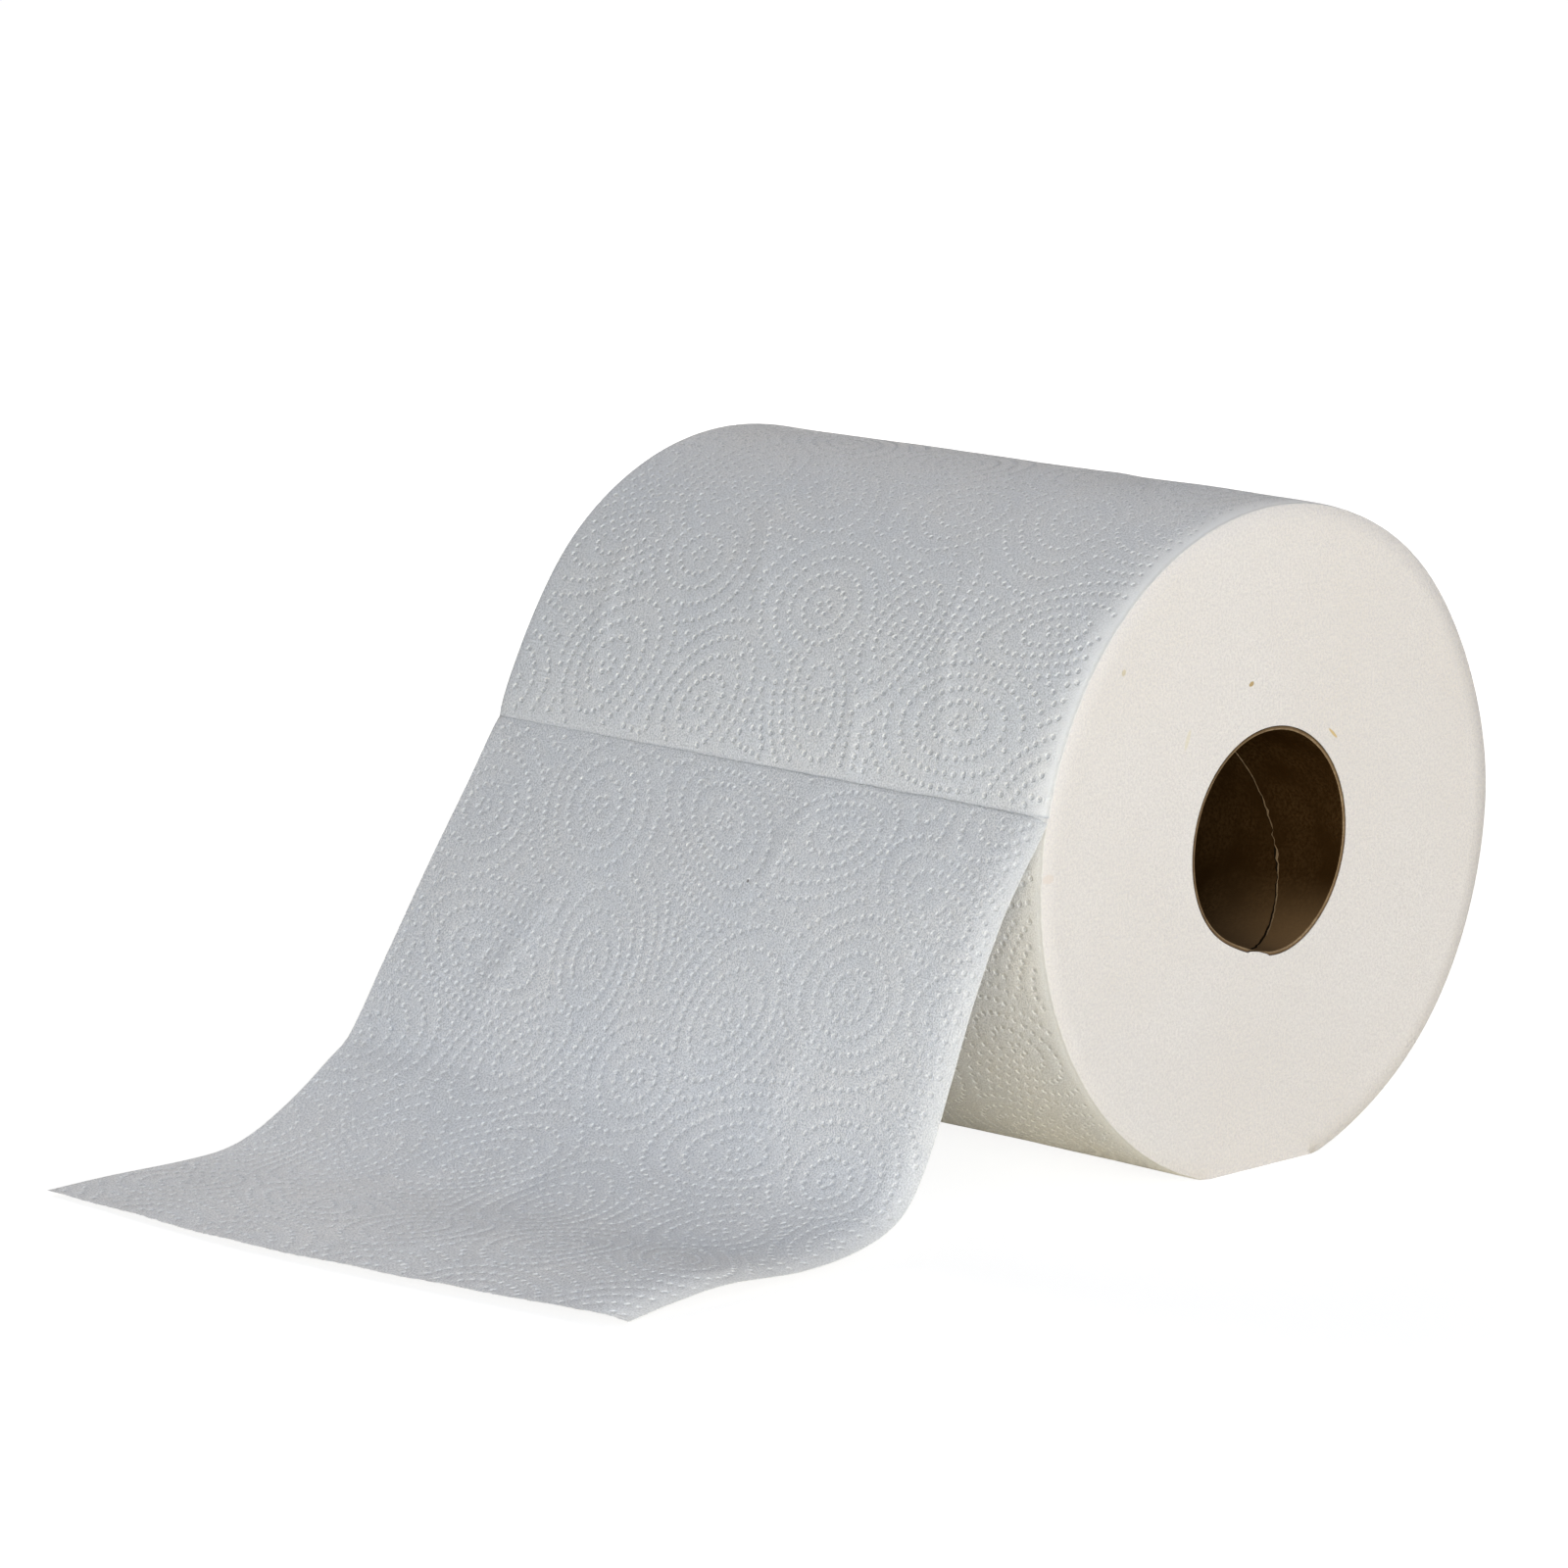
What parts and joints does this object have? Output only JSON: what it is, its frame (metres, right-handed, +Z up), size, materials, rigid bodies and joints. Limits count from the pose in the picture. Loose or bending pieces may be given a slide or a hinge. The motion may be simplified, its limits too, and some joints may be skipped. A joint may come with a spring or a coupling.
{
  "type": "paper wiper roll",
  "caption": "Perforated, dot-embossed tissue web wound on a cardboard core, lying on its side with one loose sheet run out along the floor.",
  "frame": {"origin": "middle of the core's bore", "axes": "+Y along the bore, +Z up, and the loose sheet runs out along the floor towards -X"},
  "size_m": [0.3373, 0.197, 0.1765],
  "materials": {
    "tissue": "matt, embossed with rings of small dots",
    "core_board": "matt, uncoated brown board"
  },
  "bodies": {
    "root": {"paper_web": "tissue", "cardboard_core": "core_board"}
  },
  "joints": []
}
